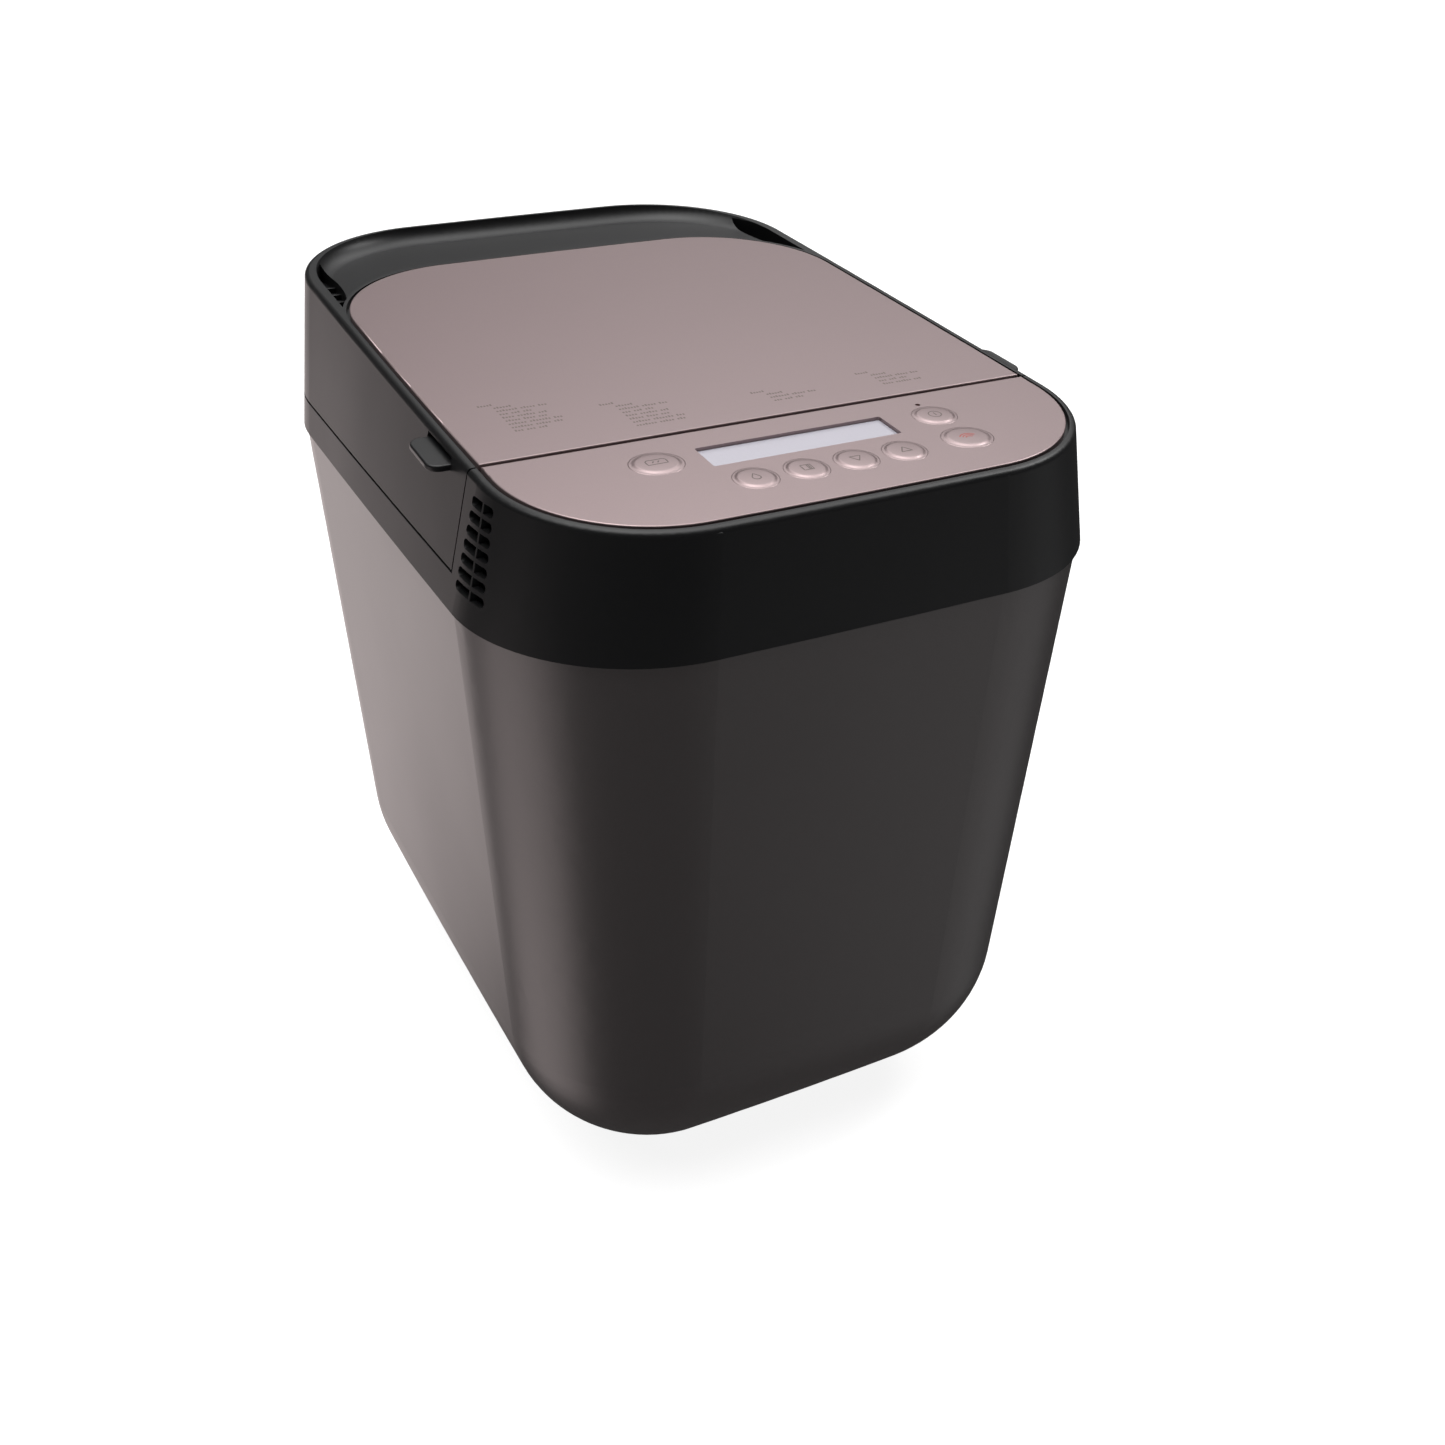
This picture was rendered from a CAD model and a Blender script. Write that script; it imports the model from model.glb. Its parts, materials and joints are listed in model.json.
"""Looks of a domestic bread machine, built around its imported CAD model."""

import json
import math

import bpy
from mathutils import Matrix, Vector


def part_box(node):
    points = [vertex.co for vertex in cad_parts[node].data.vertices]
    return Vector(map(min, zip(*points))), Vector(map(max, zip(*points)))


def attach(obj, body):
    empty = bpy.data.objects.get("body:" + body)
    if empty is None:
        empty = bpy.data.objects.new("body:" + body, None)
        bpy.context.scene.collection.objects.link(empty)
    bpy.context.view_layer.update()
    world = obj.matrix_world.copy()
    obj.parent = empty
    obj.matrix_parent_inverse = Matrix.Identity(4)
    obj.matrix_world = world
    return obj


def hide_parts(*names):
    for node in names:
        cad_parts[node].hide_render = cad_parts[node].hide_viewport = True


bl_info = {
    "name": "Bread machine",
    "version": (1, 0, 0),
    "blender": (4, 5, 0),
    "location": "3D View > Sidebar > Bread machine",
    "description": "Finishes and details of a domestic bread machine",
    "category": "Object",
}

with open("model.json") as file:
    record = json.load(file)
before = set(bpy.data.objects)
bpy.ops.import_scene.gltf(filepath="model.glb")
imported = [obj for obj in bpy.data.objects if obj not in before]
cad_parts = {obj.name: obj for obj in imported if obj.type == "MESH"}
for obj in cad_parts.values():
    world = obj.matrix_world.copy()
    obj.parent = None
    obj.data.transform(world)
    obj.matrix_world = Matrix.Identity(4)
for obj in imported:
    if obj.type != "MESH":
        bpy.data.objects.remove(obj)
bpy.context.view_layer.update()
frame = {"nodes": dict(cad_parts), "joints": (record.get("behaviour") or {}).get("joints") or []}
NODES = frame["nodes"]

MM = 0.001
KEYS = ("key_menu", "key_select", "key_option", "key_down", "key_up", "key_start", "key_stop")

# A key's mesh: points around it, rings on its crown, and how the rings are spaced
KEY_TURNS = 64
KEY_RINGS = 14
RING_SPACING = 0.7      # below 1, so that the rings lie closer together near the rim

# A key's crown, as shares of its radius, and how much of its height it loses by the rim
CROWN_MIDDLE = 0.045
CROWN_REACH = 0.88
CROWN_BORDER = 0.12
CROWN_FALL = 0.35

# A key's rim, flange and stem: shares of its radius, and heights above the deck
FLANGE_SHARE = 1.11
STEM_SHARE = 0.28
STEM_MIDDLE = 0.05
WALL_MIDDLE = -1.2 * MM
CROWN_FOOT = -2.0 * MM
FLANGE_TOP = -2.5 * MM
FLANGE_FOOT = -3.4 * MM
STEM_FOOT = -4.7 * MM

# Printed marks
MARK = 1.4 * MM         # unit in which the keys' symbols are drawn
MARK_STEP = 0.4         # longest straight step of a symbol, in the same unit
PRINT_GROUPS = ((-93, 44, 9), (-52, 30, 8), (4, 20, 4), (50, 22, 5))   # left, depth, rows
PRINT_PITCH = 3.0       # this and the next six in millimetres
PRINT_INDENT = 5.0
LETTER_WIDTH = 0.75
LETTER_STEP = 1.15
LETTER_TALL = 1.5
LETTER_LOW = 1.1
WORD_GAP = 1.0


# ---------------------------------------------------------------- places read from the frame
def joint(name):
    """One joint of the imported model."""
    return next(j for j in frame["joints"] if j["name"] == name)


def middle(node):
    """Middle of a node's box."""
    low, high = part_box(node)
    return (Vector(low) + Vector(high)) / 2


PRESS = Vector(joint("key_menu_press")["axis"])
DECK_SLOPE = -PRESS.y / PRESS.z
PLATE_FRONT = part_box("lid_panel")[0][1]
DECK_ZERO = max(v.co.z - DECK_SLOPE * v.co.y for v in NODES["lid_panel"].data.vertices)


def deck_point(x, y, lift=0.0):
    """A point that stands lift above the deck's surface."""
    up = Vector((0, -DECK_SLOPE, 1)).normalized()
    return Vector((x, y, DECK_ZERO + DECK_SLOPE * y)) + up * lift


# ---------------------------------------------------------------- sizes and colours to change
class BreadSizes(bpy.types.PropertyGroup):
    """Sizes of the details that are added to the CAD model."""

    crown: bpy.props.FloatProperty(
        name="Key crown", description="Height of a key's dome above the deck",
        default=0.6 * MM, unit="LENGTH")
    key_edge: bpy.props.FloatProperty(
        name="Key edge", description="Width added to a key so that its gap nearly closes",
        default=0.285 * MM, unit="LENGTH")
    stroke: bpy.props.FloatProperty(
        name="Mark stroke", description="Line width of the printed key marks",
        default=0.45 * MM, unit="LENGTH")
    print_lift: bpy.props.FloatProperty(
        name="Print height", description="How far printed marks stand above their surface",
        default=0.03 * MM, unit="LENGTH")


class BreadFinish(bpy.types.PropertyGroup):
    """Colours and roughness of the main finishes."""

    ring: bpy.props.FloatVectorProperty(
        name="Ring", description="Black plastic of the ring and lid",
        default=(0.0048, 0.0048, 0.0052), size=3, subtype="COLOR", min=0, max=1)
    tub: bpy.props.FloatVectorProperty(
        name="Tub", description="Warm grey metallic paint of the tub",
        default=(0.040, 0.034, 0.034), size=3, subtype="COLOR", min=0, max=1)
    bronze: bpy.props.FloatVectorProperty(
        name="Plates", description="Rose-bronze finish of the deck plates and keys",
        default=(0.30, 0.230, 0.232), size=3, subtype="COLOR", min=0, max=1)
    ink: bpy.props.FloatVectorProperty(
        name="Print", description="Ink of the printed marks",
        default=(0.10, 0.075, 0.07), size=3, subtype="COLOR", min=0, max=1)
    floor: bpy.props.FloatVectorProperty(
        name="Floor", description="Pale floor under the machine",
        default=(0.93, 0.93, 0.93), size=3, subtype="COLOR", min=0, max=1)


def sizes():
    """The sizes as they are set now."""
    return bpy.context.scene.bread_sizes


def finish():
    """The colours as they are set now."""
    return bpy.context.scene.bread_finish


# ---------------------------------------------------------------- shader expressions
class Wire:
    """A shader socket that can be used in arithmetic."""

    def __init__(self, nodes, socket):
        self.nodes = nodes
        self.socket = socket

    def maths(self, operation, first, second):
        """A Math node on two wires or numbers."""
        return self.nodes.node("Math", {"operation": operation}, _0=first, _1=second)

    def __add__(self, other):
        return self.maths("ADD", self, other)

    __radd__ = __add__

    def __sub__(self, other):
        return self.maths("SUBTRACT", self, other)

    def __rsub__(self, other):
        return self.maths("SUBTRACT", other, self)

    def __mul__(self, other):
        return self.maths("MULTIPLY", self, other)

    __rmul__ = __mul__

    def between(self, low, high):
        """0 below low, 1 above high, and smooth from one to the other."""
        return self.nodes.node("MapRange", {"interpolation_type": "SMOOTHSTEP"}, "Result",
                               Value=self, From_Min=low, From_Max=high)


class Nodes:
    """A node tree whose nodes are written as calls."""

    def __init__(self, tree):
        self.tree = tree

    def node(self, kind, settings=None, output=0, **inputs):
        """Any node, by type, with its settings and the values or links of its sockets.

        A socket's name has _ for a space, and _2 is the socket with index 2.
        """
        node = self.tree.nodes.new("ShaderNode" + kind)
        for key, value in (settings or {}).items():
            setattr(node, key, value)
        for key, value in inputs.items():
            index = int(key[1:]) if key.startswith("_") else key.replace("_", " ")
            self.feed(node.inputs[index], value)
        return Wire(self, node.outputs[output])

    def feed(self, socket, value):
        """Links a wire to a socket, or sets the socket's value."""
        if isinstance(value, Wire):
            self.tree.links.new(value.socket, socket)
        elif hasattr(socket.default_value, "__len__") and len(socket.default_value) == 4:
            socket.default_value = (*value[:3], 1.0)
        else:
            socket.default_value = value


class Finish(Nodes):
    """A material with one surface shader."""

    def __init__(self, name):
        self.material = bpy.data.materials.new(name)
        self.material.use_nodes = True
        super().__init__(self.material.node_tree)
        self.shader = self.tree.nodes["Principled BSDF"]

    def set(self, **sockets):
        """Sets or links sockets of the surface shader; names use _ for a space."""
        for key, value in sockets.items():
            self.feed(self.shader.inputs[key.replace("_", " ")], value)

    def point(self):
        """The surface point in object coordinates, in metres."""
        return self.node("TexCoord", output=3)

    def place(self, stretch=(1.0, 1.0, 1.0)):
        """The surface point, stretched."""
        return self.node("Mapping", Vector=self.point(), Scale=stretch)

    def axis(self, letter):
        """One coordinate of the surface point."""
        return self.node("SeparateXYZ", output="XYZ".index(letter), Vector=self.point())

    def noise(self, scale, detail, stretch=(1.0, 1.0, 1.0)):
        """Soft random clouds between 0 and 1."""
        return self.node("TexNoise", Vector=self.place(stretch), Scale=scale, Detail=detail,
                         Roughness=0.5)

    def cells(self, scale):
        """Distance to the nearest of many scattered points."""
        return self.node("TexVoronoi", Vector=self.place(), Scale=scale)

    def mix(self, factor, first, second):
        """Colour mix; the factor may vary over the surface."""
        return self.node("Mix", {"data_type": "RGBA"}, 2, _0=factor, _6=first, _7=second)

    def bump(self, height, distance, strength):
        """Feeds a height pattern to the shader's normal."""
        self.set(Normal=self.node("Bump", Height=height, Distance=distance, Strength=strength))


def shade(colour, factor):
    """A colour made darker or lighter."""
    return tuple(channel * factor for channel in colour[:3])


# ---------------------------------------------------------------- finishes
def ring_plastic():
    """Satin black moulding with a faint spark texture and handling haze."""
    m = Finish("ring_plastic")
    black = finish().ring
    haze = m.noise(14, 4)
    grain = m.noise(2600, 2)
    m.set(Base_Color=m.mix(haze, shade(black, 0.85), shade(black, 1.2)),
          Roughness=0.36 + haze * 0.08, Specular_IOR_Level=0.34)
    m.bump(grain, 0.012 * MM, 0.35)
    return m.material


def tub_paint():
    """Warm dark metallic paint: fine flake under a satin coat, slight orange peel."""
    m = Finish("tub_paint")
    grey = finish().tub
    flake = m.cells(2600)
    cloud = m.noise(9, 3)
    colour = m.mix(flake.between(0.1, 0.7), shade(grey, 0.9), shade(grey, 1.12))
    colour = m.mix(cloud, colour, m.mix(0.5, grey, shade(grey, 0.92)))
    m.set(Base_Color=colour, Metallic=0.3, Roughness=0.33 + cloud * 0.05,
          Specular_IOR_Level=0.9)
    m.bump(m.noise(700, 2), 0.01 * MM, 0.3)
    return m.material


def bronze(name):
    """Satin rose bronze with a very fine sparkle."""
    m = Finish(name)
    base = finish().bronze
    brush = m.noise(22, 3, (1.0, 60.0, 60.0))
    fleck = m.noise(2400, 1)
    colour = m.mix(brush, shade(base, 0.97), shade(base, 1.03))
    colour = m.mix(fleck.between(0.3, 0.7), colour, m.mix(0.5, base, shade(base, 1.08)))
    m.set(Base_Color=colour, Metallic=0.65, Roughness=0.29 + brush * 0.05,
          Specular_IOR_Level=0.3)
    m.bump(brush, 0.006 * MM, 0.25)
    return m.material


def matte_plastic(name, colour, roughness=0.55):
    """Moulded plastic with a fine grain."""
    m = Finish(name)
    haze = m.noise(20, 3)
    m.set(Base_Color=m.mix(haze, shade(colour, 0.85), shade(colour, 1.15)),
          Roughness=(roughness - 0.06) + haze * 0.12)
    m.bump(m.noise(1500, 2), 0.03 * MM, 0.4)
    return m.material


def rubber(name, colour):
    """Dull rubber or silicone with some dust on it."""
    m = Finish(name)
    dust = m.noise(60, 5)
    m.set(Base_Color=m.mix(dust.between(0.5, 0.9), colour, shade(colour, 2.2)),
          Roughness=0.72 + dust * 0.15)
    m.bump(m.noise(900, 3), 0.05 * MM, 0.5)
    return m.material


def sheet_metal(name, colour, along="Z", roughness=0.3, tint=None):
    """Rolled or brushed sheet; the grain runs along one axis, and tint is a heat stain.

    The stain is given by its height, how far it reaches up and down, and its colour.
    """
    m = Finish(name)
    stretch = tuple(1.0 if letter == along else 60.0 for letter in "XYZ")
    grain = m.noise(24, 3, stretch)
    blotch = m.noise(11, 4)
    surface = m.mix(grain, shade(colour, 0.88), shade(colour, 1.08))
    surface = m.mix(blotch.between(0.45, 0.8), surface, shade(colour, 0.82))
    if tint:
        centre, reach, heat = tint
        height = m.axis("Z")
        glow = height.between(centre - reach, centre)
        glow = glow * (1 - height.between(centre, centre + reach))
        surface = m.mix(glow * blotch.between(0.2, 0.7), surface, heat)
    m.set(Base_Color=surface, Metallic=1.0, Roughness=roughness + grain * 0.12)
    m.bump(grain, 0.02 * MM, 0.3)
    return m.material


def turned_metal(name, colour, roughness=0.22):
    """Machined or drawn metal with small scratches."""
    m = Finish(name)
    scratch = m.noise(300, 4, (1.0, 1.0, 9.0))
    m.set(Base_Color=m.mix(scratch, shade(colour, 0.85), shade(colour, 1.1)), Metallic=1.0,
          Roughness=roughness + scratch * 0.14)
    m.bump(scratch, 0.01 * MM, 0.3)
    return m.material


def nonstick():
    """Dark non-stick coating with a fine speckle and fine scouring marks."""
    m = Finish("nonstick")
    dark = (0.055, 0.055, 0.06)
    speck = m.cells(950).between(0.0, 0.22)
    fleck = m.mix(speck, (0.16, 0.16, 0.17), dark)
    wear = m.noise(30, 5)
    m.set(Base_Color=m.mix(wear.between(0.55, 0.8), fleck, shade(dark, 1.7)), Metallic=0.25,
          Roughness=0.36 + wear * 0.14)
    m.bump(m.noise(800, 2), 0.02 * MM, 0.4)
    return m.material


def circuit_board():
    """Green solder mask with copper traces and small pads."""
    m = Finish("circuit_board")
    green = (0.015, 0.11, 0.04)
    traces = m.node("TexBrick", {"offset": 0.37}, Vector=m.place(), Scale=160,
                    Color1=shade(green, 1.25), Color2=shade(green, 1.1), Mortar=green)
    pads = m.cells(420).between(0.12, 0.16)
    m.set(Base_Color=m.mix(pads, (0.55, 0.5, 0.4), traces), Roughness=0.3 + pads * 0.15)
    m.bump(pads, 0.03 * MM, 0.4)
    return m.material


def liquid_display():
    """Pale blue-grey display glass with a faint cell grid."""
    m = Finish("liquid_display")
    pale = (0.39, 0.375, 0.42)
    cell = m.node("TexBrick", {"offset": 0.0, "squash": 1.0}, Vector=m.place(), Scale=220,
                  Color1=pale, Color2=shade(pale, 0.99), Mortar=shade(pale, 0.95))
    cloud = m.noise(30, 2)
    m.set(Base_Color=m.mix(cloud, cell, shade(pale, 1.05)), Roughness=0.16 + cloud * 0.05)
    return m.material


def printed_ink(name, ink):
    """Thin printed colour, a little worn."""
    m = Finish(name)
    wear = m.noise(900, 3)
    m.set(Base_Color=m.mix(wear, shade(ink, 0.8), shade(ink, 1.3)), Roughness=0.5 + wear * 0.1)
    return m.material


def laminations():
    """Motor can: steel laminations between painted end bells."""
    m = Finish("laminations")
    height = m.axis("Z")
    layers = m.node("TexWave", {"bands_direction": "Z"}, Vector=m.place(), Scale=260)
    low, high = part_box("motor_body")
    core = height.between(low[2] + 12 * MM, low[2] + 13 * MM)
    core = core * (1 - height.between(high[2] - 18 * MM, high[2] - 17 * MM))
    steel = m.mix(layers, (0.20, 0.20, 0.21), (0.34, 0.34, 0.35))
    m.set(Base_Color=m.mix(core, (0.07, 0.075, 0.085), steel), Metallic=0.9,
          Roughness=0.34 + layers * 0.14)
    m.bump(layers * core, 0.08 * MM, 0.6)
    return m.material


# ---------------------------------------------------------------- mesh helpers
def new_piece(name, points, faces, material, body, smooth=True):
    """A mesh that rides on a body and takes a record finish."""
    mesh = bpy.data.meshes.new(name)
    mesh.from_pydata([tuple(p) for p in points], [], faces)
    mesh.validate()
    mesh.update()
    for polygon in mesh.polygons:
        polygon.use_smooth = smooth
    mesh.materials.append(material)
    piece = bpy.data.objects.new(name, mesh)
    bpy.context.scene.collection.objects.link(piece)
    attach(piece, body)
    return piece


def dress(material, *nodes):
    """Gives CAD nodes a finish."""
    for name in nodes:
        mesh = NODES[name].data
        mesh.materials.clear()
        mesh.materials.append(material)
        for polygon in mesh.polygons:
            polygon.material_index = 0


# ---------------------------------------------------------------- keys
def key_place(name):
    """Centre on the deck and half sizes of one key's crown."""
    tilt = math.hypot(1.0, DECK_SLOPE)
    across, along = [], []
    for vertex in NODES[name].data.vertices:
        lift = (vertex.co.z - DECK_ZERO - DECK_SLOPE * vertex.co.y) / tilt
        if lift > CROWN_FOOT:
            across.append(vertex.co.x)
            along.append(vertex.co.y + DECK_SLOPE * lift / tilt)
    return ((max(across) + min(across)) / 2, (max(along) + min(along)) / 2,
            (max(across) - min(across)) / 2, (max(along) - min(along)) / 2)


def crown_height(share):
    """Height of a key's top at a share of its radius: a low dome inside a flush border."""
    border = min(1.0, max(0.0, (CROWN_REACH - share) / CROWN_BORDER))
    rise = border * border * (3 - 2 * border)
    return sizes().crown * rise * (1.0 - CROWN_FALL * share ** 2)


def key_dome(name, material):
    """A key: smooth dome, side wall, hidden flange and stem."""
    x, y, half_x, half_y = key_place(name)
    half_x += sizes().key_edge
    half_y += sizes().key_edge
    shares = [CROWN_MIDDLE] + [(i / KEY_RINGS) ** RING_SPACING for i in range(1, KEY_RINGS + 1)]
    outline = [(share, crown_height(share)) for share in shares]
    outline += [(1.0, WALL_MIDDLE), (1.0, FLANGE_TOP), (FLANGE_SHARE, FLANGE_TOP),
                (FLANGE_SHARE, FLANGE_FOOT), (STEM_SHARE, FLANGE_FOOT), (STEM_SHARE, STEM_FOOT),
                (STEM_MIDDLE, STEM_FOOT)]
    points, faces = [], []
    for share, lift in outline:
        for j in range(KEY_TURNS):
            angle = 2 * math.pi * j / KEY_TURNS
            points.append(deck_point(x + half_x * share * math.cos(angle),
                                     y + half_y * share * math.sin(angle), lift))
    last = (len(outline) - 1) * KEY_TURNS
    for start in range(0, last, KEY_TURNS):
        for j in range(KEY_TURNS):
            k = (j + 1) % KEY_TURNS
            faces.append((start + j, start + KEY_TURNS + j, start + KEY_TURNS + k, start + k))
    faces.append(tuple(range(KEY_TURNS)))
    faces.append(tuple(last + j for j in reversed(range(KEY_TURNS))))
    piece = new_piece(name + "_dome", points, faces, material, name)
    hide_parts(name)


def ribbon(path, width, closed):
    """Flat strip along a path: points and faces in the path's own plane."""
    points, faces = [], []
    count = len(path)
    for i, (x, y) in enumerate(path):
        before = path[i - 1] if closed or i > 0 else path[i]
        after = path[(i + 1) % count] if closed or i < count - 1 else path[i]
        dx, dy = after[0] - before[0], after[1] - before[1]
        length = math.hypot(dx, dy) or 1.0
        nx, ny = -dy / length * width / 2, dx / length * width / 2
        points += [(x + nx, y + ny), (x - nx, y - ny)]
    for i in range(count if closed else count - 1):
        a, b = 2 * i, 2 * ((i + 1) % count)
        faces.append((a, a + 1, b + 1, b))
    return points, faces


def sector(radius, start, end, steps, centre=(0.0, 0.0)):
    """Points along an arc, angles in degrees."""
    return [(centre[0] + radius * math.cos(math.radians(start + (end - start) * i / steps)),
             centre[1] + radius * math.sin(math.radians(start + (end - start) * i / steps)))
            for i in range(steps + 1)]


def drop_outline(size):
    """Water drop, point upwards."""
    lower = sector(size * 0.62, -200, 20, 16, (0, -size * 0.2))
    return [(0, size)] + lower[::-1]


def key_marks():
    """Strokes of each key's symbol about the key's centre; in steps of MARK."""
    loaf = [(-2.6, -1.0)] + sector(1.0, 180, 60, 6, (-1.7, 0.5)) + sector(1.0, 120, 0, 6, (1.7, 0.5))
    loaf += [(2.6, -1.0)]
    return {
        "key_menu": [(loaf, True), ([(-1.2, -0.2), (-0.6, 0.6)], False),
                     ([(0.2, -0.2), (0.8, 0.6)], False)],
        "key_select": [(drop_outline(1.7), True)],
        "key_option": [([(-1.3, -1.3), (1.3, -1.3), (1.3, 1.3), (-1.3, 1.3)], True),
                       ([(0.3, -1.2), (0.3, 1.2)], False), ([(0.75, -1.2), (0.75, 1.2)], False)],
        "key_down": [([(-1.5, 1.1), (1.5, 1.1), (0, -1.4)], True)],
        "key_up": [([(-1.5, -1.1), (1.5, -1.1), (0, 1.4)], True)],
        "key_start": [(sector(1.7, 0, 345, 28), True), ([(0, -0.8), (0, 0.9)], False)],
        "key_stop": [(sector(1.2 + 0.75 * i, 35, 145, 12, (0, -1.4)), False) for i in range(3)],
    }


def mark_piece(name, strokes, material):
    """One key's symbol, laid on its dome."""
    x, y, half_x, half_y = key_place(name)
    points, faces = [], []
    for path, closed in strokes:
        dense = []
        count = len(path)
        for i in range(count if closed else count - 1):
            (ax, ay), (bx, by) = path[i], path[(i + 1) % count]
            steps = max(1, int(math.hypot(bx - ax, by - ay) / MARK_STEP))
            dense += [(ax + (bx - ax) * s / steps, ay + (by - ay) * s / steps) for s in range(steps)]
        if not closed:
            dense.append(path[-1])
        strip, quads = ribbon([(px * MARK, py * MARK) for px, py in dense], sizes().stroke, closed)
        start = len(points)
        for px, py in strip:
            share = math.hypot(px / half_x, py / half_y)
            points.append(deck_point(x + px, y + py, crown_height(share) + sizes().print_lift))
        faces += [tuple(start + index for index in quad) for quad in quads]
    new_piece(name + "_symbol", points, faces, material, name, smooth=False)


class BREAD_OT_keys(bpy.types.Operator):
    """Seven domed keys with generic printed symbols"""

    bl_idname = "bread.keys"
    bl_label = "Keys"

    def execute(self, context):
        plate = bronze("key_bronze")
        ink = printed_ink("printed_ink", finish().ink)
        red = printed_ink("printed_ink_red", (0.33, 0.06, 0.05))
        strokes = key_marks()
        for name in KEYS:
            key_dome(name, plate)
            mark_piece(name, strokes[name], red if name == "key_stop" else ink)
        return {"FINISHED"}


# ---------------------------------------------------------------- covers
class BREAD_OT_covers(bpy.types.Operator):
    """Tub, ring, lid and the two deck plates"""

    bl_idname = "bread.covers"
    bl_label = "Covers"

    def execute(self, context):
        dress(tub_paint(), "body_shell")
        dress(ring_plastic(), "upper_frame", "lid_shell")
        dress(bronze("bronze_plate"), "control_panel", "lid_panel")
        dress(matte_plastic("base_black", (0.02, 0.02, 0.02)), "base_plate", "cord_gland")
        dress(rubber("foot_rubber", (0.03, 0.03, 0.03)), "feet")
        return {"FINISHED"}


class BREAD_OT_lid_print(bpy.types.Operator):
    """Generic greyed bars on the lid's plate, in four groups"""

    bl_idname = "bread.lid_print"
    bl_label = "Lid print"

    def execute(self, context):
        front = PLATE_FRONT / MM
        points, faces = [], []
        for g, (left, depth, rows) in enumerate(PRINT_GROUPS):
            for i in range(rows):
                x = left + (0 if i == 0 else PRINT_INDENT)
                y = front + depth - PRINT_PITCH * i
                for w in range(3 if i > 1 else 1):
                    letters = 3 + (7 * (i + 2) * (w + 3) + 5 * g) % 5
                    for k in range(letters):
                        tall = LETTER_TALL if (k * 5 + i * 3 + w) % 4 == 0 else LETTER_LOW
                        corners = [(x, y), (x + LETTER_WIDTH, y),
                                   (x + LETTER_WIDTH, y + tall), (x, y + tall)]
                        start = len(points)
                        points += [deck_point(cx * MM, cy * MM, sizes().print_lift)
                                   for cx, cy in corners]
                        faces.append(tuple(range(start, start + 4)))
                        x += LETTER_STEP
                    x += WORD_GAP
        ink = printed_ink("lid_ink", shade(finish().ink, 1.3))
        new_piece("lid_print", points, faces, ink, "lid", smooth=False)
        return {"FINISHED"}


class BREAD_OT_display(bpy.types.Operator):
    """Display glass, its module and the pilot light"""

    bl_idname = "bread.display"
    bl_label = "Display"

    def execute(self, context):
        dress(liquid_display(), "display_window", "display_module")
        m = Finish("light_pipe")
        m.set(Base_Color=(0.12, 0.04, 0.035), Roughness=0.2)
        dress(m.material, "status_light")
        return {"FINISHED"}


# ---------------------------------------------------------------- oven and pan
class BREAD_OT_oven(bpy.types.Operator):
    """Oven box, element, liner, seal and shield"""

    bl_idname = "bread.oven"
    bl_label = "Oven"

    def execute(self, context):
        heat = middle("heating_element").z
        dress(sheet_metal("oven_sheet", (0.52, 0.53, 0.54), tint=(heat, 45 * MM, (0.36, 0.28, 0.20))),
              "oven_chamber")
        dress(sheet_metal("liner_sheet", (0.60, 0.60, 0.60), along="X", roughness=0.28), "lid_liner")
        dress(sheet_metal("shield_sheet", (0.55, 0.56, 0.57), roughness=0.25),
              "heat_shield", "chassis_plate")
        dress(rubber("seal_silicone", (0.33, 0.33, 0.34)), "lid_seal", "pan_seal")
        dress(turned_metal("element_sheath", (0.11, 0.105, 0.10), 0.4), "heating_element")
        dress(sheet_metal("clip_steel", (0.45, 0.45, 0.46)), "element_clips", "pan_seat")
        dress(turned_metal("probe_metal", (0.55, 0.55, 0.56)), "temperature_sensor", "thermal_fuse")
        return {"FINISHED"}


class BREAD_OT_pan(bpy.types.Operator):
    """Bread pan, bail, shaft and kneading blade"""

    bl_idname = "bread.pan"
    bl_label = "Pan"

    def execute(self, context):
        dress(nonstick(), "bread_pan", "kneading_blade")
        dress(turned_metal("cast_aluminium", (0.50, 0.50, 0.51), 0.34), "pan_base", "pan_coupling")
        dress(turned_metal("bail_steel", (0.60, 0.60, 0.61), 0.12), "pan_handle")
        dress(turned_metal("bush_bronze", (0.45, 0.30, 0.14), 0.25), "pan_bush", "drive_bush")
        return {"FINISHED"}


# ---------------------------------------------------------------- drive and electrics
class BREAD_OT_drive(bpy.types.Operator):
    """Motor, belt, pulleys, shafts and fasteners"""

    bl_idname = "bread.drive"
    bl_label = "Drive"

    def execute(self, context):
        dress(laminations(), "motor_body")
        dress(rubber("grommet_rubber", (0.03, 0.03, 0.03)), "motor_grommets", "drive_belt")
        dress(turned_metal("shaft_steel", (0.55, 0.55, 0.56), 0.15), "drive_shaft", "motor_shaft",
              "pan_shaft", "hinge_pins")
        dress(matte_plastic("pulley_plastic", (0.62, 0.60, 0.54), 0.45), "drive_pulley")
        dress(turned_metal("pulley_brass", (0.50, 0.38, 0.18), 0.25), "motor_pulley")
        dress(matte_plastic("coupling_plastic", (0.05, 0.05, 0.05), 0.5), "drive_coupling")
        dress(turned_metal("zinc_plate", (0.50, 0.51, 0.52), 0.3), "bearing_housing", "base_screws",
              "board_screws", "seat_screws", "chassis_screws", "motor_screws", "housing_screws",
              "lid_screws")
        return {"FINISHED"}


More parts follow.
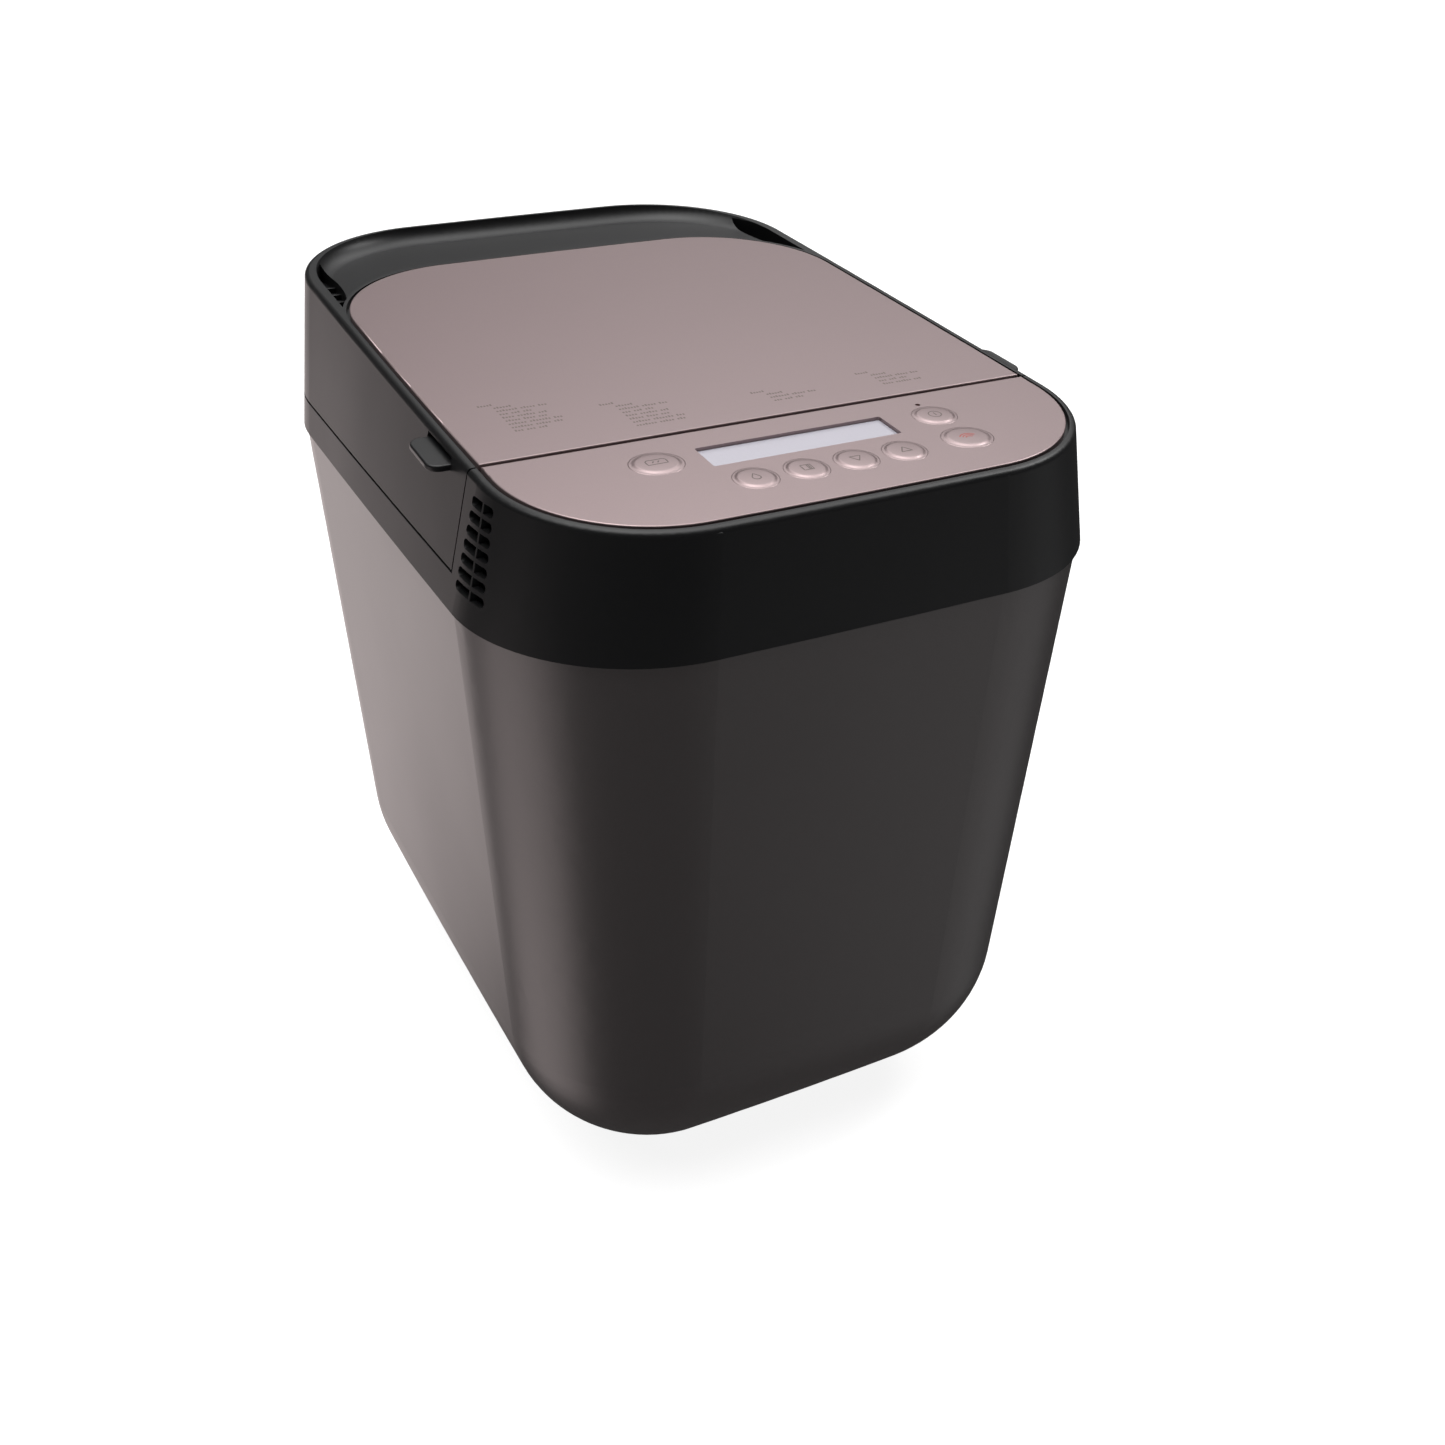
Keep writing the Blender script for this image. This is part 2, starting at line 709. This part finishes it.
class BREAD_OT_electrics(bpy.types.Operator):
    """Boards and what stands on them"""

    bl_idname = "bread.electrics"
    bl_label = "Electrics"

    def execute(self, context):
        dress(circuit_board(), "control_board", "power_board")
        dress(matte_plastic("component_black", (0.04, 0.04, 0.045), 0.4), "key_switches",
              "power_components")
        dress(matte_plastic("nylon", (0.65, 0.65, 0.62), 0.5), "board_standoffs")
        return {"FINISHED"}


# ---------------------------------------------------------------- stage
def lamp(data, ahead, place=(0.0, 0.0, 0.0)):
    """A light that shines from a place along a direction."""
    light = bpy.data.objects.new(data.name, data)
    bpy.context.scene.collection.objects.link(light)
    light.location = place
    light.rotation_mode = "QUATERNION"
    light.rotation_quaternion = Vector(ahead).to_track_quat("-Z", "Y")


class BREAD_OT_stage(bpy.types.Operator):
    """Pale floor, soft light and the camera"""

    bl_idname = "bread.stage"
    bl_label = "Stage"

    def execute(self, context):
        scene = context.scene
        scene.view_settings.view_transform = "Standard"
        scene.view_settings.look = "None"
        self.floor()
        self.lights(scene)
        self.camera(scene)
        return {"FINISHED"}

    def floor(self):
        """A wide pale floor that doesn't mirror in the machine."""
        half = 8.0
        mesh = bpy.data.meshes.new("floor")
        corners = [(-half, -half, 0), (half, -half, 0), (half, half, 0), (-half, half, 0)]
        mesh.from_pydata(corners, [], [(0, 1, 2, 3)])
        m = Finish("floor")
        m.set(Base_Color=shade(finish().floor, 0.3), Roughness=0.85, Specular_IOR_Level=0.2,
              Emission_Color=finish().floor, Emission_Strength=0.95)
        mesh.materials.append(m.material)
        floor = bpy.data.objects.new("floor", mesh)
        bpy.context.scene.collection.objects.link(floor)
        floor.visible_glossy = False

    def room(self, scene):
        """A dim studio with a bright table behind and a bright ceiling to the right."""
        world = bpy.data.worlds.new("studio")
        world.use_nodes = True
        m = Nodes(world.node_tree)
        view = m.node("TexCoord", output="Generated")
        across, along, up = (m.node("SeparateXYZ", output=i, Vector=view) for i in range(3))
        table = (along * 0.92 - across * 0.10 - up * 0.38).between(0.88, 1.0)
        left = (along * 0.20 - across * 0.75 - up * 0.63).between(0.84, 1.0)
        right = (across * 0.75 - along * 0.45 - up * 0.45).between(0.78, 1.0)
        ceiling = (across * 0.35 + along * 0.45 + up * 0.82).between(0.82, 0.96)
        plain = 0.045 + 0.40 * right + 2.3 * ceiling + 3.0 * up.between(0.84, 1.0)
        warm = 1.65 * table + 1.5 * left
        colour = m.node("CombineColor", Red=plain + warm, Green=plain + warm * 0.88,
                        Blue=plain + warm * 0.87)
        m.feed(m.tree.nodes["Background"].inputs["Color"], colour)
        scene.world = world

    def lights(self, scene):
        """The room, a very soft sun from above and a small lamp to the right."""
        self.room(scene)
        sun = bpy.data.lights.new("key", "SUN")
        sun.energy = 1.6
        sun.angle = math.radians(50)
        lamp(sun, (0.35, -0.1, -1.0))
        softbox = bpy.data.lights.new("right_softbox", "AREA")
        softbox.size = 0.5
        softbox.energy = 8
        lamp(softbox, (-1.2, 0.0, -1.1), (1.2, 0.0, 1.4))

    def camera(self, scene):
        """Camera from the front left and above, tilted slightly off level."""
        data = bpy.data.cameras.new("camera")
        data.lens = 36.33
        data.sensor_width = 36.0
        data.shift_x = 0.039
        data.shift_y = 0.0886
        camera = bpy.data.objects.new("camera", data)
        scene.collection.objects.link(camera)
        heading, pitch, roll = (math.radians(angle) for angle in (25.985, -36.073, 0.367))
        turn = Matrix.Rotation(-heading, 4, "Z") @ Matrix.Rotation(math.pi / 2 + pitch, 4, "X")
        turn = turn @ Matrix.Rotation(roll, 4, "Z")
        camera.matrix_world = Matrix.Translation((-0.25504, -0.53437, 0.4973)) @ turn
        scene.camera = camera


# ---------------------------------------------------------------- panel and registration
OPERATORS = (BREAD_OT_covers, BREAD_OT_keys, BREAD_OT_lid_print, BREAD_OT_display, BREAD_OT_oven,
             BREAD_OT_pan, BREAD_OT_drive, BREAD_OT_electrics, BREAD_OT_stage)


class BREAD_PT_panel(bpy.types.Panel):
    """Lists the pieces and the finishes"""

    bl_label = "Bread machine"
    bl_idname = "BREAD_PT_panel"
    bl_space_type = "VIEW_3D"
    bl_region_type = "UI"
    bl_category = "Bread machine"

    def draw(self, context):
        for group in (context.scene.bread_sizes, context.scene.bread_finish):
            for key in group.__annotations__:
                self.layout.prop(group, key)
        for operator in OPERATORS:
            self.layout.operator(operator.bl_idname)


CLASSES = (BreadSizes, BreadFinish, *OPERATORS, BREAD_PT_panel)


def register():
    """Registers the classes and their settings."""
    for item in CLASSES:
        bpy.utils.register_class(item)
    bpy.types.Scene.bread_sizes = bpy.props.PointerProperty(type=BreadSizes)
    bpy.types.Scene.bread_finish = bpy.props.PointerProperty(type=BreadFinish)


def unregister():
    """Removes the settings and the classes."""
    del bpy.types.Scene.bread_sizes
    del bpy.types.Scene.bread_finish
    for item in reversed(CLASSES):
        bpy.utils.unregister_class(item)


def main():
    """Builds everything."""
    register()
    for operator in OPERATORS:
        group, name = operator.bl_idname.split(".")
        getattr(getattr(bpy.ops, group), name)()


if __name__ == "__main__":
    main()
